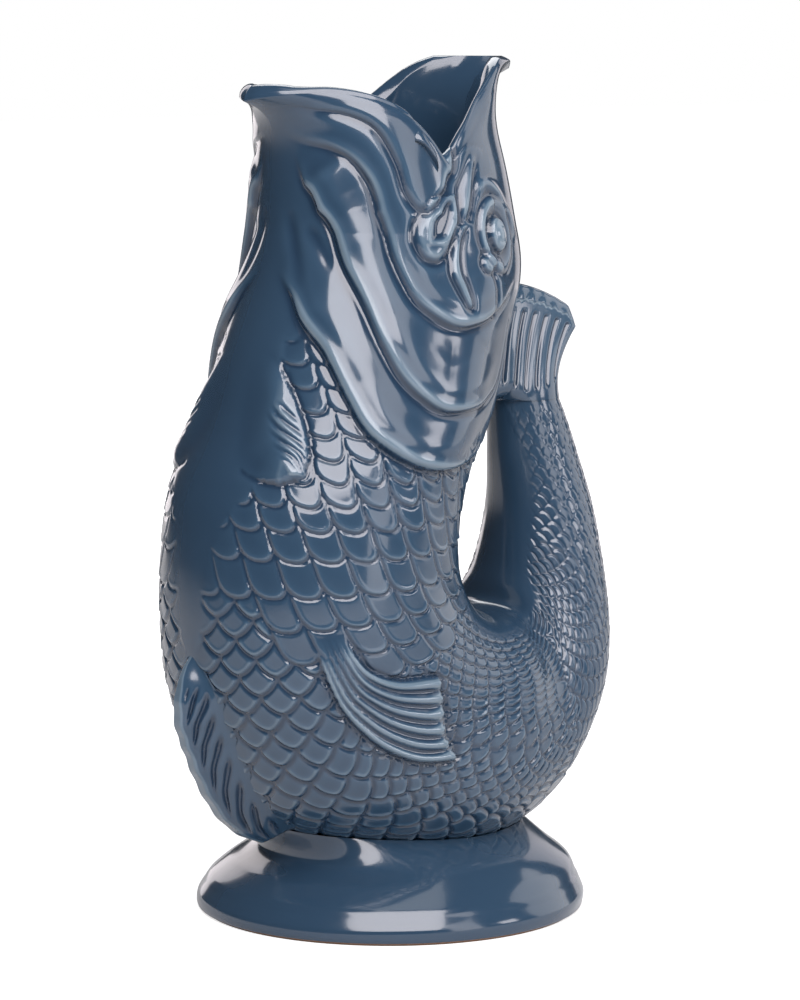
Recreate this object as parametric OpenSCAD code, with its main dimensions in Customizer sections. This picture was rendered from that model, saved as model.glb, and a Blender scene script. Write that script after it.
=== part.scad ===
// Gurgle jug in the shape of an upright fish, glazed earthenware.
// The open mouth is the spout, the curled hollow tail is the handle, and a turned foot carries the body.
// Millimetres, +Z up. The origin is at the centre of the foot, on the face that it stands on.
// The mouth pours towards -X, the tail is at +X, and the jug is the same on both sides of the XZ plane.

/* [Body] */
// Height from the table to the top of the upper jaw
jug_h = 250; // [210:1:300]
// Depth of the belly, front to back
belly_d = 85; // [76:1:96]
// Width of the belly, side to side
belly_w = 93; // [82:1:108]
// Thickness of the fired wall
wall = 4.5; // [3.5:0.1:5]

/* [Foot] */
// Diameter of the foot
foot_d = 115; // [106:1:126]
// Height of the domed foot
foot_h = 10; // [8.5:0.5:14]
// Height of the drawn-in waist between the foot and the belly
waist_h = 5.5; // [3.5:0.5:9]
// Diameter of the waist
waist_d = 84; // [78:1:88]
// Height of the bare clay ring that touches the table
ring_h = 2; // [1.5:0.1:3]
// Width of the bare clay ring
ring_w = 7; // [5:0.5:9]
// Height of the hollow under the foot
hollow_h = 7.5; // [4:0.5:8]

/* [Mouth] */
// Length of the mouth from the lower jaw to the upper jaw
mouth_l = 96; // [86:1:104]
// Width of the mouth
mouth_w = 63; // [56:1:70]
// How far the lip stands out from the wall
lip_proud = 1.2; // [0.8:0.1:1.6]

/* [Tail handle] */
// Gap for the fingers, from the back of the belly to the tail
finger_gap = 28; // [24:0.5:36]
// Thickness of the tail where the hand holds it, front to back
grip_d = 34; // [30:0.5:38]
// Width of the tail where the hand holds it
grip_w = 36; // [32:0.5:40]

/* [Fins and gills] */
// How far the front fin under the belly stands out
belly_fin_out = 9.5; // [7:0.5:12]
// Width of the front fin where it leaves the belly
belly_fin_w = 22; // [16:1:26]
// How far the small fin behind stands out
rear_fin_out = 5; // [3:0.5:6]
// Width of the small fin behind where it leaves the body
rear_fin_w = 8; // [6:0.5:10]
// How far the gill covers stand out
gill_out = 2.6; // [1.8:0.1:3.2]
// How far the pectoral fins stand out
pectoral_out = 2.8; // [2:0.1:3.4]
// How far the ribbed pelvic fins stand out
pelvic_out = 2.4; // [1.8:0.1:3]
// Width of the tail fin along its outer edge
tail_fin_w = 38; // [35:0.5:43]
// Height of the tail fin above the top of the tail
tail_fin_h = 35.5; // [30:0.5:39]
// How far the web of the tail fin reaches down the back
fin_web_h = 8; // [5:0.5:11]
// Thickness of the tail fin near its edge
tail_fin_t = 8; // [6:0.5:10]

/* [Face] */
// Diameter of the eye
eye_d = 10; // [8:0.5:11]
// How far the folds of the snout stand out
snout_out = 2.2; // [1.5:0.1:2.6]

/* [Hidden] */

// Colours of the glaze and of the bare clay
glaze = [0.53, 0.60, 0.67];
glaze_light = [0.62, 0.68, 0.74];
glaze_dark = [0.42, 0.50, 0.58];
clay = [0.62, 0.47, 0.36];

// Fineness of the curved surfaces
columns = 56;
steps = 3;
fine = 96;

// Air left under a piece that is laid on the curved body
seat_air = 0.05;
// Air left under the fins on the midline
fin_air = 0.3;
// Thickness of a laid piece at its feathered edge
feather_t = 0.25;
// Largest sine of the angle at which a fin's side meets the skin
steepest = 0.9;

// Rings of the fish from the neck to the top of the tail.
// The line down the back: reach in belly depths, reach in finger gaps, height above the waist.
back_shares = [
    [0.435, 0, 0.817], [0.465, 0, 0.744], [0.406, 0, 0.655], [0.329, 0, 0.565],
    [0.208, 0, 0.493], [0.158, 0, 0.429], [0.157, 0, 0.375], [0.165, 0.14, 0.33],
    [0.165, 0.41, 0.305], [0.165, 0.61, 0.303], [0.165, 0.78, 0.311], [0.165, 0.83, 0.333],
    [0.165, 0.9, 0.365], [0.165, 0.955, 0.429], [0.165, 0.91, 0.499], [0.165, 0.885, 0.565]
];
// The line down the belly and up the tail: belly depths, grip depths out from the back line, height.
front_shares = [
    [-0.472, 0, 0.817], [-0.512, 0, 0.744], [-0.604, 0, 0.655], [-0.69, 0, 0.565],
    [-0.79, 0, 0.493], [-0.829, 0, 0.429], [-0.845, 0, 0.322], [-0.788, 0, 0.198],
    [-0.562, 0, 0.068], [0.024, 0, 0.006], [0, 0.16, 0.034], [0, 0.825, 0.137],
    [0, 1.065, 0.25], [0, 0.965, 0.399], [0, 0.82, 0.499], [0, 0.67, 0.565]
];
// Half widths, in half belly widths and half grip widths, and how round each ring is (1 is an ellipse).
width_shares = [
    [0.742, 0, 1], [0.806, 0, 1], [0.882, 0, 1], [0.935, 0, 1],
    [0.968, 0, 1], [0.989, 0, 1], [1, 0, 1], [1, 0, 0.94],
    [0.968, 0, 0.84], [0.903, 0, 0.76], [0.75, 0, 0.88], [0.665, 0, 0.95],
    [0, 1.389, 1], [0, 1, 1], [0, 0.733, 1], [0, 0.583, 1]
];
// The rim of the mouth from the lower jaw to the upper jaw.
// Each row: angle in half turns, x in mouth lengths, y in half mouth widths, height above the waist.
rim_shares = [
    [0, -0.535, 0, 0.951], [0.083, -0.515, 0.15, 0.955], [0.178, -0.463, 0.333, 0.9586],
    [0.267, -0.36, 0.571, 0.9586], [0.356, -0.247, 0.794, 0.945], [0.433, -0.144, 0.946, 0.917],
    [0.5, -0.062, 1, 0.876], [0.572, 0.031, 0.968, 0.91], [0.656, 0.123, 0.81, 0.946],
    [0.744, 0.22, 0.69, 0.977], [0.822, 0.3, 0.51, 0.992], [0.911, 0.396, 0.254, 0.996],
    [1, 0.46, 0, 0.986]
];
// How quickly the throat flares out to the rim
flare_power_share = 7;
flare_even_share = 0.04;
// How much the head draws in below the rim behind the mouth, at two thirds of the way up
pinch_share = 0.15;
pinch_spread = 1.5;

belly_z = foot_h + waist_h;
body_h = jug_h - belly_z;

// The outline of the domed foot: overhang past the waist, height above the clay ring
foot_shares = [[0.966, 0], [1, 0.2], [0.985, 0.42], [0.9, 0.72], [0.72, 1]];
function foot_r(share) = waist_d / 2 + (foot_d - waist_d) / 2 * share;
foot_edge_r = foot_r(foot_shares[0][0]);
foot_top_r = foot_r(foot_shares[len(foot_shares) - 1][0]);
waist_lean = belly_d * 0.05;
last_ring = len(back_shares);
rows = last_ring * steps;
lip_rows = 1;
head_rows = 4 * steps;
tail_rows = 11 * steps;

// A smooth curve through rows of numbers, at place k counted in rows
function curve(p, k) =
    let (
        i = max(0, min(len(p) - 2, floor(k))),
        f = k - i,
        p0 = p[max(i - 1, 0)],
        p1 = p[i],
        p2 = p[i + 1],
        p3 = p[min(i + 2, len(p) - 1)]
    )
    (2 * p1 + (p2 - p0) * f + (2 * p0 - 5 * p1 + 4 * p2 - p3) * f * f
        + (3 * p1 - p0 - 3 * p2 + p3) * f * f * f) / 2;

// A number raised to a power with its sign kept
function signed_power(x, p) = sign(x) * pow(abs(x), p);

// Rows of [back x, back z, front x, front z, half width, roundness] in millimetres
ring_sizes = [
    for (i = [0 : last_ring - 1])
        let (
            back_x = back_shares[i][0] * belly_d + back_shares[i][1] * finger_gap,
            tail = front_shares[i][1],
            front_x = tail > 0 ? back_x + tail * grip_d : front_shares[i][0] * belly_d
        )
        [
            back_x, belly_z + back_shares[i][2] * body_h,
            front_x, belly_z + front_shares[i][2] * body_h,
            (width_shares[i][0] * belly_w + width_shares[i][1] * grip_w) / 2, width_shares[i][2]
        ]
];

// A point of ring k at angle a: 0 is the belly side, 90 the left flank, 180 the back
function ring_point(k, a) =
    let (
        s = curve(ring_sizes, k - 1),
        c = signed_power(cos(a), s[5]),
        n = signed_power(sin(a), s[5])
    )
    [(s[0] + s[2]) / 2 + (s[2] - s[0]) / 2 * c, -s[4] * n, (s[1] + s[3]) / 2 + (s[3] - s[1]) / 2 * c];

// The place in the rim's table of an angle from 0 to 180
function rim_place(a, i = 0) =
    i >= len(rim_shares) - 2 || rim_shares[i + 1][0] * 180 >= a
    ? i + (a / 180 - rim_shares[i][0]) / (rim_shares[i + 1][0] - rim_shares[i][0])
    : rim_place(a, i + 1);

function rim_point(a) =
    let (
        b = a > 180 ? 360 - a : a,
        r = curve(rim_shares, rim_place(b))
    )
    [r[1] * mouth_l, (a > 180 ? 1 : -1) * abs(r[2]) * mouth_w / 2, belly_z + r[3] * body_h];

// A point of the fish's outer surface: k is 0 at the rim, 1 at the neck and last_ring at the tail's top
function skin(k, a) =
    k >= 1 ? ring_point(k, a) :
    let (
        r = rim_point(a),
        n = ring_point(1, a),
        u = 1 - k,
        f = flare_even_share * u + (1 - flare_even_share) * pow(u, flare_power_share),
        rise = 27 / 4 * u * u * (1 - u),
        q = 1 - pinch_share * rise * pow((1 - cos(a)) / 2, pinch_spread)
    )
    [(n[0] + (r[0] - n[0]) * f) * q, (n[1] + (r[1] - n[1]) * f) * q, n[2] + (r[2] - n[2]) * u];

// Where the waist meets the underside of the body: its middle ring, and its reach in rings and half turns
collar_ring_share = 10.1;
collar_along_share = 0.95;
collar_angle_share = 0.24;
collar_columns = 48;
function collar_skin(u, b) = raised(
    collar_ring_share - collar_along_share * u * cos(b),
    wrap(-180 * collar_angle_share * u * sin(b)),
    seat_air
);

function unit(v) = v / max(norm(v), 1e-9);

// The outward direction of the skin, from small steps along and across it
step_share = 0.02;
step_angle = 2;
function outward(k, a) =
    let (
        k0 = max(k - step_share, 0),
        k1 = min(k + step_share, last_ring)
    )
    unit(cross(skin(k1, a) - skin(k0, a), skin(k, a + step_angle) - skin(k, a - step_angle + 360)));

// A point that stands out from the skin by h
function raised(k, a, h) = skin(k, a) + outward(k, a) * h;

// The grid of the outer skin and of the inner face of the wall
function wrap(a) = a - 360 * floor(a / 360);
function column_angle(j) = 360 * j / columns;
outer = [for (i = [0 : rows]) [for (j = [0 : columns - 1]) skin(i / steps, column_angle(j))]];
across = [for (i = [0 : rows]) [
    for (j = [0 : columns - 1])
        outer[i][(j + 1) % columns] - outer[i][(j + columns - 1) % columns]
]];
normals = [for (i = [0 : rows]) [
    for (j = [0 : columns - 1])
        unit(cross(outer[min(i + 1, rows)][j] - outer[max(i - 1, 0)][j], across[i][j]))
]];
inner = outer - normals * wall;

// Faces of a grid of points whose rows close on themselves, and whose columns close too
function torus_faces(m, n) = [
    for (i = [0 : m - 1])
        for (j = [0 : n - 1])
            let (
                a = i * n + j,
                b = i * n + (j + 1) % n,
                c = ((i + 1) % m) * n + (j + 1) % n,
                d = ((i + 1) % m) * n + j
            )
            each [[a, b, d], [b, c, d]]
];

// A closed solid from rings of points, each ring as long as the next
module ring_solid(rings) {
    m = len(rings);
    n = len(rings[0]);
    polyhedron(points = [for (r = rings) each r], faces = torus_faces(m, n), convexity = 10);
}

// A plate from a grid of lower points and a grid of upper points
module plate(low, high) {
    m = len(low);
    n = len(low[0]);
    size = m * n;
    points = concat([for (r = low) each r], [for (r = high) each r]);
    top = [
        for (i = [0 : m - 2])
            for (j = [0 : n - 2])
                let (a = size + i * n + j)
                each [[a, a + 1, a + n], [a + 1, a + n + 1, a + n]]
    ];
    bottom = [
        for (i = [0 : m - 2])
            for (j = [0 : n - 2])
                let (a = i * n + j)
                each [[a, a + n, a + 1], [a + 1, a + n, a + n + 1]]
    ];
    edge = concat(
        [for (j = [0 : n - 2]) j],
        [for (i = [0 : m - 2]) i * n + n - 1],
        [for (j = [n - 1 : -1 : 1]) (m - 1) * n + j],
        [for (i = [m - 1 : -1 : 1]) i * n]
    );
    count = len(edge);
    rim = [
        for (e = [0 : count - 1])
            let (a = edge[e], b = edge[(e + 1) % count])
            each [[a, b, a + size], [b, b + size, a + size]]
    ];
    polyhedron(points = points, faces = concat(top, bottom, rim), convexity = 6);
}

// A piece laid on the skin: place(u, v) gives [ring, angle] and rise(u, v) its height there
module laid_plate(places, rises) {
    low = [for (i = [0 : len(places) - 1]) [
        for (j = [0 : len(places[0]) - 1])
            raised(places[i][j][0], wrap(places[i][j][1]), seat_air)
    ]];
    high = [for (i = [0 : len(places) - 1]) [
        for (j = [0 : len(places[0]) - 1])
            raised(places[i][j][0], wrap(places[i][j][1]), seat_air + feather_t + rises[i][j])
    ]];
    plate(low, high);
}

// The shell between two rows of the grid
module shell(first, last) {
    ring_solid(concat(
        [for (i = [first : last]) outer[i]],
        [for (i = [last : -1 : first]) inner[i]]
    ));
}

// Half turns of a section, for soft bumps: 0 at the ends and 1 in the middle
function bump(u) = sin(180 * u);

// The ring of bare clay that the jug stands on
module foot_ring() {
    color(clay)
        rotate_extrude($fn = fine)
            polygon([
                [foot_d / 2 - ring_h / 2 - ring_w, 0],
                [foot_d / 2 - ring_h, 0],
                [foot_d / 2 - ring_h / 2, ring_h / 2],
                [foot_edge_r, ring_h],
                [foot_d / 2 - ring_w, ring_h],
                [foot_d / 2 - ring_w - ring_h / 2, ring_h / 2]
            ]);
}

// The domed foot, hollow underneath
module foot() {
    dome_h = foot_h - ring_h;
    hollow_r = foot_d / 2 - ring_w;
    turns = 6;
    color(glaze)
        rotate_extrude($fn = fine)
            polygon(concat(
                [for (p = foot_shares) [foot_r(p[0]), ring_h + dome_h * p[1]]],
                [[0, foot_h]],
                [for (i = [0 : turns]) [
                    hollow_r * sin(90 * i / turns), ring_h + (hollow_h - ring_h) * cos(90 * i / turns)
                ]]
            ));
}

// The waist that draws in above the foot and meets the underside of the body.
// It leans towards the tail, because the body sits a little behind the foot's centre.
module waist_collar() {
    angles = [for (j = [0 : collar_columns - 1]) 360 * j / collar_columns];
    function level(r, z, lean) = [for (b = angles) [lean - r * cos(b), r * sin(b), z]];
    cap = [for (u = [0.05, 0.3, 0.55, 0.8, 1]) [for (b = angles) collar_skin(u, b)]];
    top = cap[len(cap) - 1];
    waist = level(waist_d / 2, belly_z + waist_h * 0.7, waist_lean);
    middle = level((waist_d / 2 + foot_top_r) / 2, belly_z - waist_h * 0.2, waist_lean * 1.1);
    base = level(foot_top_r, foot_h, 0);
    skirt = [for (i = [1 : 8]) curve([top, waist, middle, base], i * 3 / 8)];
    color(glaze)
        closed_stack(concat(cap, skirt, [level(foot_top_r / 20, foot_h, 0)]));
}

// A solid from a stack of rings whose first and last rings are closed by a fan
module closed_stack(rings) {
    m = len(rings);
    n = len(rings[0]);
    sides = [
        for (i = [0 : m - 2])
            for (j = [0 : n - 1])
                let (
                    a = i * n + j,
                    b = i * n + (j + 1) % n
                )
                each [[a, a + n, b], [b, a + n, b + n]]
    ];
    first = [[for (j = [0 : n - 1]) j]];
    last = [[for (j = [n - 1 : -1 : 0]) (m - 1) * n + j]];
    polyhedron(points = [for (r = rings) each r], faces = concat(sides, first, last), convexity = 6);
}

module body_shell() {
    color(glaze)
        shell(head_rows, tail_rows);
}

module head_shell() {
    color(glaze)
        shell(lip_rows, head_rows);
}

module tail_handle() {
    color(glaze)
        shell(tail_rows, rows);
}

// The lip: a rounded band along the rim that stands out from the wall
module mouth_lip() {
    top = outer[0] - normals[0] * (wall / 2);
    rise = [for (j = [0 : columns - 1]) [0, 0, 1]];
    color(glaze_light)
        ring_solid([
            inner[lip_rows],
            (inner[0] + inner[lip_rows]) / 2,
            inner[0] * 0.5 + top * 0.5,
            top + rise * (lip_proud / 3),
            outer[0] - normals[0] * (wall / 4) + rise * (lip_proud / 2),
            outer[0] + normals[0] * (lip_proud / 2),
            (outer[lip_rows] + outer[0]) / 2 + normals[lip_rows] * lip_proud,
            outer[lip_rows] + normals[lip_rows] * lip_proud,
            outer[lip_rows]
        ]);
}

// The tail fin fans out above the tail and leans on the back of the head.
fin_rows = 8;
fin_columns = 14;
// Thickness across the fan, from the head side to the free edge, in root thicknesses
fin_root_shares = [0.62, 0.8, 0.95, 1, 0.97, 0.86, 0.6, 0.03];
// Where the fan thins towards its edges, how thin it gets, and how far its free corner hangs down
fin_edge_share = 0.94;
fin_thin_share = 0.5;
fin_droop_share = 0.36;
module tail_fin() {
    root = ring_sizes[last_ring - 1];
    root_z = root[1];
    head_line = [for (i = [0 : rows]) outer[i][columns / 2]];
    root_head_x = skin(ring_at(root_z, steps), 180)[0];
    function half_t(u, v) =
        let (
            rooted = curve(fin_root_shares * root[4], u * (len(fin_root_shares) - 1)),
            free = u > fin_edge_share ? fin_thin_share : 1,
            top = v > fin_edge_share ? fin_thin_share : 1,
            fanned = tail_fin_t / 2 * free * top
        )
        max(feather_t, rooted * (1 - v) * (1 - v) + fanned * (1 - (1 - v) * (1 - v)));
    function ring_at(z, i) =
        i >= last_ring - 1 || head_line[i][2] <= z
        ? (i - (z - head_line[i][2]) / (head_line[i - 1][2] - head_line[i][2])) / steps
        : ring_at(z, i + 1);
    function fan(u, v, side) =
        let (
            y = half_t(u, v),
            far_z = root_z + tail_fin_h * v * (1 - fin_droop_share * u * u * v),
            head = skin(ring_at(far_z, steps), 180),
            free_x = root[2] + (head[0] + tail_fin_w - root[2]) * sin(90 * v),
            web = max(0, 1 - u * (root[2] - root_head_x) / (root[0] - root_head_x)),
            z = far_z - fin_web_h * (v == 0 ? web * web : web * web * (1 - v) * (1 - v)),
            k = ring_at(z, steps),
            w = curve(ring_sizes, k - 1)[4],
            near = raised(k, 180 - asin(min(y / w, steepest)), seat_air)
        )
        [near[0] + (free_x - near[0]) * u, side * y, z];
    left = [for (i = [0 : fin_rows]) [for (j = [0 : fin_columns]) fan(j / fin_columns, i / fin_rows, -1)]];
    right = [for (i = [0 : fin_rows]) [for (j = [0 : fin_columns]) fan(j / fin_columns, i / fin_rows, 1)]];
    color(glaze_light)
        plate(left, right);
}

// A fin that stands on the midline, from ring k0 to ring k1, with scalloped rays.
// Its flanks slope from the skin to its edge, and its rays stand out by a share of its height.
rays = 8;
ray_share = 0.03;
flank_share = 1.25;
crest_share = 0.12;
module midline_fin(k0, k1, out, w, shape_shares, tint) {
    n = 24;
    m = 7;
    function points(s, r, lift) =
        let (
            k = k0 + (k1 - k0) * s,
            a = wrap(sign(r) * asin(min(abs(r) * w / 2 / curve(ring_sizes, k - 1)[4], steepest))),
            ray = 1 + ray_share * cos(360 * rays * s),
            h = out * curve(shape_shares, s * (len(shape_shares) - 1)) * ray,
            slope = pow(min(1, (1 - abs(r)) / (1 - crest_share)), flank_share)
        )
        raised(k, a, fin_air + feather_t * lift) + outward(k, 0) * h * slope * lift;
    low = [for (i = [0 : n]) [for (j = [-m : m]) points(i / n, j / m, 0)]];
    high = [for (i = [0 : n]) [for (j = [-m : m]) points(i / n, j / m, 1)]];
    color(tint)
        plate(low, high);
}

belly_fin_shares = [0.02, 0.6, 0.97, 0.98, 0.94, 0.88, 0.7];
belly_fin_rings = [7.5, 9.12];
module belly_fin() {
    midline_fin(
        belly_fin_rings[0], belly_fin_rings[1], belly_fin_out, belly_fin_w, belly_fin_shares, glaze_dark
    );
}

// It starts where the underside comes out past the waist.
rear_fin_shares = [0.8, 1, 0.85, 0.5, 0.15];
rear_fin_rings = 0.72;
tail_root_ring = 10.9;
tail_turn_ring = 12;
function ring_past(x, k = tail_root_ring) =
    k > tail_turn_ring || skin(k, 0)[0] >= x ? k : ring_past(x, k + step_share);
module rear_fin() {
    first = ring_past(waist_d / 2 + waist_lean + seat_air);
    midline_fin(first, first + rear_fin_rings, rear_fin_out, rear_fin_w, rear_fin_shares, glaze_dark);
}

// The gill cover: three flaps that overlap, from the cheek down to the shoulder.
// Each line runs from the throat to the back edge, as [ring, angle in half turns].
cheek_shares = [
    [0.5, 0.25], [0.6, 0.3], [0.85, 0.33], [1.3, 0.36],
    [1.7, 0.41], [2.05, 0.46], [2.3, 0.53], [2.35, 0.6]
];
gill_one_shares = [
    [0.6, 0.22], [0.95, 0.29], [1.5, 0.32], [2, 0.345],
    [2.4, 0.4], [2.65, 0.47], [2.77, 0.54], [2.72, 0.62]
];
gill_two_shares = [
    [0.83, 0.2], [1.5, 0.23], [2.3, 0.27], [2.95, 0.33],
    [3.4, 0.39], [3.72, 0.46], [3.88, 0.56], [3.83, 0.66]
];
gill_three_shares = [
    [2.3, 0.09], [2.88, 0.16], [3.4, 0.22], [3.95, 0.32],
    [4.4, 0.41], [4.75, 0.5], [4.88, 0.61], [4.6, 0.74]
];
// Height of the gill cover across its flaps: each entry is [line, height in flap heights]
flap_shares = [
    [0, 0], [0.5, 0.45], [0.94, 1], [1, 0.55], [1.5, 0.7],
    [1.95, 1], [2, 0.5], [2.5, 0.6], [2.9, 0.85], [3, 0]
];
module gill_cover() {
    lines = [cheek_shares, gill_one_shares, gill_two_shares, gill_three_shares];
    n = 18;
    function on_line(l, s) = curve(l, s * (len(l) - 1));
    function between(f, s) =
        let (
            i = min(floor(f), len(lines) - 2),
            p = on_line(lines[i], s),
            q = on_line(lines[i + 1], s)
        )
        p + (q - p) * (f - i);
    places = [for (p = flap_shares) [
        for (j = [0 : n])
            let (place = between(p[0], j / n))
            [place[0], place[1] * 180]
    ]];
    rises = [for (p = flap_shares) [
        for (j = [0 : n])
            gill_out * p[1] * pow(bump(0.04 + 0.92 * j / n), 0.4)
    ]];
    color(glaze_light)
        laid_plate(places, rises);
}

// The pectoral fin: a broad lobe on the chest, between two side lines of [ring, angle in half turns]
pectoral_front_shares = [[3.2, 0.04], [3.7, 0.05], [4.2, 0.065], [4.65, 0.09], [4.9, 0.14]];
pectoral_back_shares = [[3.3, 0.08], [3.75, 0.17], [4.3, 0.235], [4.75, 0.26], [5.03, 0.22]];
module pectoral_fin() {
    n = 12;
    m = 10;
    places = [for (i = [0 : n]) [
        for (j = [0 : m])
            let (
                a = curve(pectoral_front_shares, i / n * (len(pectoral_front_shares) - 1)),
                b = curve(pectoral_back_shares, i / n * (len(pectoral_back_shares) - 1)),
                p = a + (b - a) * j / m
            )
            [p[0], p[1] * 180]
    ]];
    rises = [for (i = [0 : n]) [
        for (j = [0 : m])
            pectoral_out * sqrt(max(0, bump(j / m))) * pow(max(0, bump(0.05 + 0.95 * i / n)), 0.6)
    ]];
    color(glaze)
        laid_plate(places, rises);
}

// The pelvic fin: ribs that sweep from the flank down and back, between its upper and lower edges
pelvic_upper_shares = [[7.1, 0.33], [7.5, 0.37], [7.9, 0.43], [8.1, 0.48], [8.28, 0.54]];
pelvic_lower_shares = [[7.3, 0.29], [8, 0.32], [8.55, 0.365], [9, 0.4], [9.38, 0.46]];
pelvic_ribs = 7;
module pelvic_fin() {
    n = 4 * pelvic_ribs;
    m = 12;
    places = [for (i = [0 : n]) [
        for (j = [0 : m])
            let (
                a = curve(pelvic_upper_shares, j / m * (len(pelvic_upper_shares) - 1)),
                b = curve(pelvic_lower_shares, j / m * (len(pelvic_lower_shares) - 1)),
                p = a + (b - a) * i / n
            )
            [p[0], p[1] * 180]
    ]];
    rises = [for (i = [0 : n]) [
        for (j = [0 : m])
            pelvic_out * (0.45 + 0.55 * abs(sin(180 * pelvic_ribs * i / n)))
                * (i == 0 || i == n ? 0.3 : 1) * sqrt(bump(0.03 + 0.8 * j / m))
    ]];
    color(glaze_light)
        laid_plate(places, rises);
}

// The folds of the snout beside the corner of the mouth: almond nostril and long leaf
snout_upper_shares = [[0.75, 0.49], [1, 0.44], [1.3, 0.4], [1.55, 0.41], [1.75, 0.45]];
snout_lower_shares = [[0.75, 0.52], [1.1, 0.53], [1.45, 0.535], [1.8, 0.54], [2.1, 0.54]];
module snout_fold() {
    n = 12;
    m = 12;
    places = [for (i = [0 : n]) [
        for (j = [0 : m])
            let (
                a = curve(snout_upper_shares, i / n * (len(snout_upper_shares) - 1)),
                b = curve(snout_lower_shares, i / n * (len(snout_lower_shares) - 1)),
                p = a + (b - a) * j / m
            )
            [p[0], p[1] * 180]
    ]];
    rises = [for (i = [0 : n]) [
        for (j = [0 : m])
            snout_out * (0.55 + 0.45 * cos(360 * 1.5 * (j / m - 0.5)))
                * pow(max(0, bump(0.02 + 0.96 * i / n)), 0.5) * pow(max(0, bump(0.02 + 0.96 * j / m)), 0.3)
    ]];
    color(glaze_light)
        laid_plate(places, rises);
}

// The eye: a ball seated in the cheek
eye_ring_share = 1.5;
eye_angle_share = 0.622;
module eye() {
    bite = eye_d * 0.3;
    seat = raised(eye_ring_share, wrap(eye_angle_share * 180), bite);
    color(glaze_dark)
        difference() {
            translate(seat - outward(eye_ring_share, wrap(eye_angle_share * 180)) * bite)
                sphere(d = eye_d, $fn = fine);
            translate(seat)
                orient(outward(eye_ring_share, wrap(eye_angle_share * 180)))
                    translate([0, 0, -eye_d - bite + seat_air])
                        cylinder(h = eye_d, d = eye_d * 1.2, $fn = fine);
        }
}

// Turns +Z to the direction d
module orient(d) {
    rotate([0, acos(d[2]), atan2(d[1], d[0])])
        children();
}

foot_ring();
foot();
waist_collar();
body_shell();
head_shell();
mouth_lip();
tail_handle();
tail_fin();
belly_fin();
rear_fin();
gill_cover();  // gill_cover_left
mirror([0, 1, 0]) gill_cover();  // gill_cover_right
pectoral_fin();  // pectoral_fin_left
mirror([0, 1, 0]) pectoral_fin();  // pectoral_fin_right
pelvic_fin();  // pelvic_fin_left
mirror([0, 1, 0]) pelvic_fin();  // pelvic_fin_right
snout_fold();  // snout_fold_left
mirror([0, 1, 0]) snout_fold();  // snout_fold_right
eye();  // eye_left
mirror([0, 1, 0]) eye();  // eye_right
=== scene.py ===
import math
import bpy
import numpy as np
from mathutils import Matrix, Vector


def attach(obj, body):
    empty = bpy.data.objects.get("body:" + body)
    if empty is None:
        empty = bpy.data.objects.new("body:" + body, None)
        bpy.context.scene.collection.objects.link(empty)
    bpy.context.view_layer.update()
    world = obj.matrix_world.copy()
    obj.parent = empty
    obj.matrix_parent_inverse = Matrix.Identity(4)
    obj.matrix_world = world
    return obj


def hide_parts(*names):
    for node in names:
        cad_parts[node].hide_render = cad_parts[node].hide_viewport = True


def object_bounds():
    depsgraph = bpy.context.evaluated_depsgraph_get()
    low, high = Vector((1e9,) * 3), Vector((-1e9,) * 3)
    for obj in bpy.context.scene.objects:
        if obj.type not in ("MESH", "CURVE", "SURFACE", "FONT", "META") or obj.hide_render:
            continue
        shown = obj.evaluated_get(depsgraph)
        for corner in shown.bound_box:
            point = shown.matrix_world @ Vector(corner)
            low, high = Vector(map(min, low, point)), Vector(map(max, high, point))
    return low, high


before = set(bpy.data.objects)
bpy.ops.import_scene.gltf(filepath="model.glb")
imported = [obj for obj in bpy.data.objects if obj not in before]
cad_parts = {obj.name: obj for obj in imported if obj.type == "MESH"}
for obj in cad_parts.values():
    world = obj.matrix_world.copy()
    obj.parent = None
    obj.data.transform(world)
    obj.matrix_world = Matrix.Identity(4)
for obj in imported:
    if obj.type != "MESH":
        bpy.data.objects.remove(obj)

cad_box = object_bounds()
MM = 0.001

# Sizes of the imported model, in millimetres
jug_h, belly_d, belly_w, wall = 250.0, 85.0, 93.0, 4.5
foot_d, foot_h, waist_h, waist_d = 115.0, 10.0, 5.5, 84.0
ring_h, ring_w, hollow_h = 2.0, 7.0, 7.5
mouth_l, mouth_w = 96.0, 63.0
finger_gap, grip_d, grip_w = 28.0, 34.0, 36.0
tail_fin_w, tail_fin_h, fin_web_h, tail_fin_t = 38.0, 35.5, 8.0, 8.0
belly_fin_out, belly_fin_w, rear_fin_out, rear_fin_w = 9.5, 22.0, 5.0, 8.0
belly_z = foot_h + waist_h
body_h = jug_h - belly_z
waist_lean = belly_d * 0.05

# Rings from the neck to the tail's top: two shares of sizes along x, and one of the body's height
BACK = [
    (.435, 0, .817), (.465, 0, .744), (.406, 0, .655), (.329, 0, .565), (.208, 0, .493), (.158, 0, .429),
    (.157, 0, .375), (.165, .14, .33), (.165, .41, .305), (.165, .61, .303), (.165, .78, .311),
    (.165, .83, .333), (.165, .9, .365), (.165, .955, .429), (.165, .91, .499), (.165, .885, .565)]
FRONT = [
    (-.472, 0, .817), (-.512, 0, .744), (-.604, 0, .655), (-.69, 0, .565), (-.79, 0, .493),
    (-.829, 0, .429), (-.845, 0, .322), (-.788, 0, .198), (-.562, 0, .068), (.024, 0, .006),
    (0, .16, .034), (0, .825, .137), (0, 1.065, .25), (0, .965, .399), (0, .82, .499), (0, .67, .565)]
# Shares of the belly's and the grip's width, and the power of the ring's oval
WIDTH = [
    (.742, 0, 1), (.806, 0, 1), (.882, 0, 1), (.935, 0, 1), (.968, 0, 1), (.989, 0, 1), (1, 0, 1),
    (1, 0, .94), (.968, 0, .84), (.903, 0, .76), (.75, 0, .88), (.665, 0, .95), (0, 1.389, 1),
    (0, 1, 1), (0, .733, 1), (0, .583, 1)]
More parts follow.
